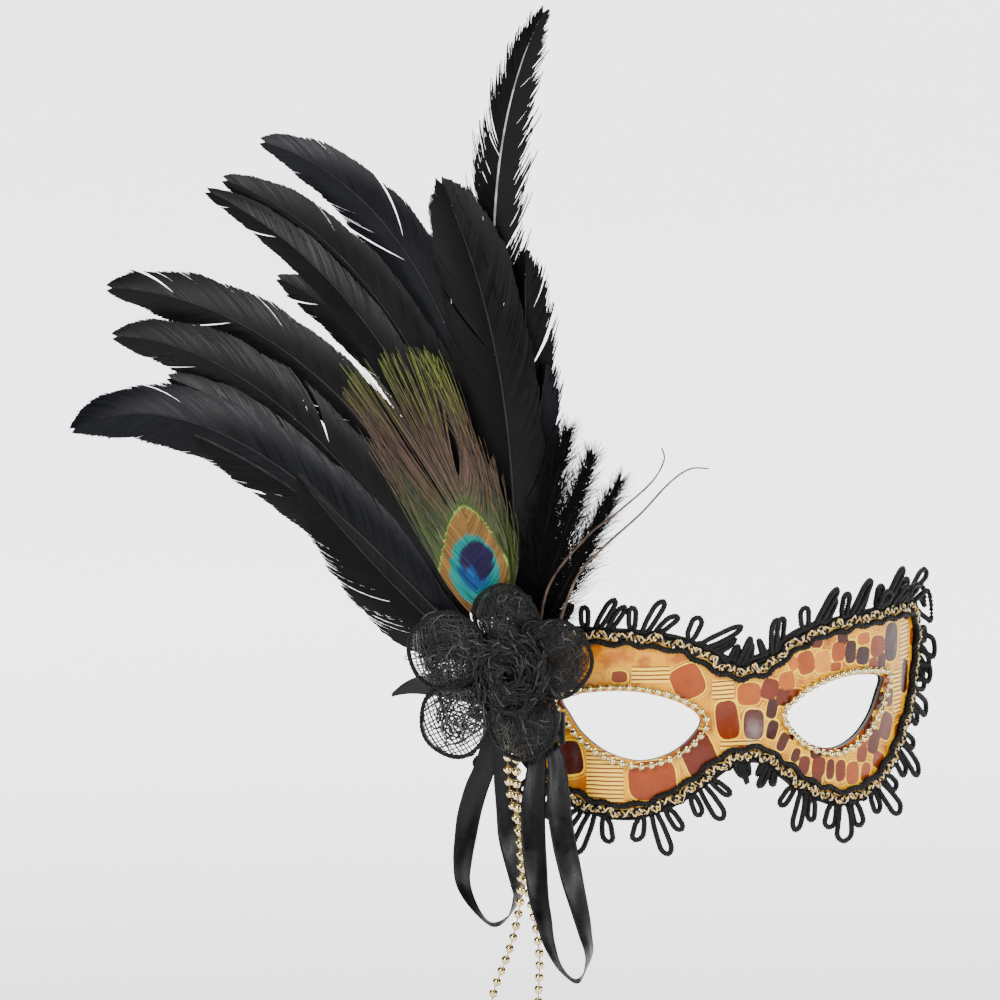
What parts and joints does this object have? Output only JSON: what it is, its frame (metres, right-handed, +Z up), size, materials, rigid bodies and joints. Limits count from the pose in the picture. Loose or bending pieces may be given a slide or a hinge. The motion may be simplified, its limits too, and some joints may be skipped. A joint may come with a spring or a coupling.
{
  "type": "venetian half mask",
  "caption": "Bent eye mask with printed vinyl, braid and looped fringe; a mesh flower, feather fan, ribbon loops and hanging beads sit at one temple.",
  "frame": {"origin": "the bridge of the nose, on the inner face of the lining, where the mask bears on the wearer", "axes": "+Z up as worn, the front of the mask looks along -Y, and +X is the side without feathers"},
  "size_m": [0.292, 0.174, 0.3633],
  "materials": {
    "moulded_board": "thin moulded board, dull black",
    "black_lining": "thin brushed black lining cloth",
    "snakeskin_vinyl": "glossy vinyl printed with golden lines round rust and brown scales",
    "black_gimp": "twisted matt black cord",
    "lurex_braid": "crocheted metallic gold thread",
    "gold_pearls": "champagne gold plated pearls",
    "gold_beads": "gold plated round beads",
    "black_feather": "dyed black coque feather with a soft sheen",
    "peacock_barbs": "iridescent olive and bronze barbs with a blue eye",
    "brown_quill": "bare brown quill",
    "black_mesh": "stiff open-weave black millinery mesh",
    "felt": "pressed black felt",
    "satin_ribbon": "black satin ribbon",
    "black_thread": "black sewing thread"
  },
  "bodies": {
    "mask": {"curved_quill_long": "brown_quill", "curved_quill_short": "brown_quill", "eye_pearls_left": "gold_pearls", "eye_pearls_right": "gold_pearls", "face_lining": "black_lining", "feather_back_centre": "black_feather", "feather_back_right": "black_feather", "feather_centre": "black_feather", "feather_left_high": "black_feather", "feather_left_inner": "black_feather", "feather_left_low": "black_feather", "feather_left_middle": "black_feather", "feather_left_point": "black_feather", "feather_low_inner": "black_feather", "feather_lowest": "black_feather", "feather_top_hackle": "black_feather", "feather_upper_left": "black_feather", "feather_upper_second": "black_feather", "feather_upper_slim": "black_feather", "flower_disc": "felt", "gimp_cord": "black_gimp", "glue_pad": "felt", "gold_braid": "lurex_braid", "hanging_tab": "felt", "loop_fringe": "black_gimp", "mask_shell": "moulded_board", "peacock_feather": "peacock_barbs", "petal_bottom": "black_mesh", "petal_left": "black_mesh", "petal_lower_left": "black_mesh", "petal_right": "black_mesh", "petal_top": "black_mesh", "quill_core": "felt", "rose_heart": "black_mesh", "rose_middle": "black_mesh", "rose_outer": "black_mesh", "snakeskin_vinyl": "snakeskin_vinyl", "tie_patch_left": "felt", "tie_patch_right": "felt", "tuft_hackle_left": "black_feather", "tuft_hackle_middle": "black_feather", "tuft_hackle_right": "black_feather"},
    "left_ribbon": {"ribbon_loop_left": "satin_ribbon", "ribbon_knot_left": "black_thread"},
    "right_ribbon": {"ribbon_loop_right": "satin_ribbon", "ribbon_knot_right": "black_thread"},
    "beads": {"bead_string": "gold_beads", "bead_crimp": "gold_beads"},
    "left_tie": {"tie_ribbon_left": "satin_ribbon"},
    "right_tie": {"tie_ribbon_right": "satin_ribbon"}
  },
  "joints": [
    {"name": "left_ribbon_swing", "type": "hinge", "parent": "mask", "child": "left_ribbon", "pos_m": [-0.08099, 0.02748, -0.008], "axis": [-0.6691, -0.7431, 0], "range_deg": [-15, 15]},
    {"name": "right_ribbon_swing", "type": "hinge", "parent": "mask", "child": "right_ribbon", "pos_m": [-0.07016, 0.00454, -0.008], "axis": [-0.6691, -0.7431, 0], "range_deg": [-15, 15]},
    {"name": "bead_string_swing", "type": "hinge", "parent": "mask", "child": "beads", "pos_m": [-0.08014, 0.01393, -0.0058], "axis": [-0.6691, -0.7431, 0], "range_deg": [-18, 18]},
    {"name": "left_tie_fold", "type": "hinge", "parent": "mask", "child": "left_tie", "pos_m": [-0.07415, 0.0364, 0.0025], "axis": [0, 0, 1], "range_deg": [-60, 0]},
    {"name": "right_tie_fold", "type": "hinge", "parent": "mask", "child": "right_tie", "pos_m": [0.07415, 0.0364, 0.0025], "axis": [0, 0, 1], "range_deg": [-12, 45]}
  ]
}
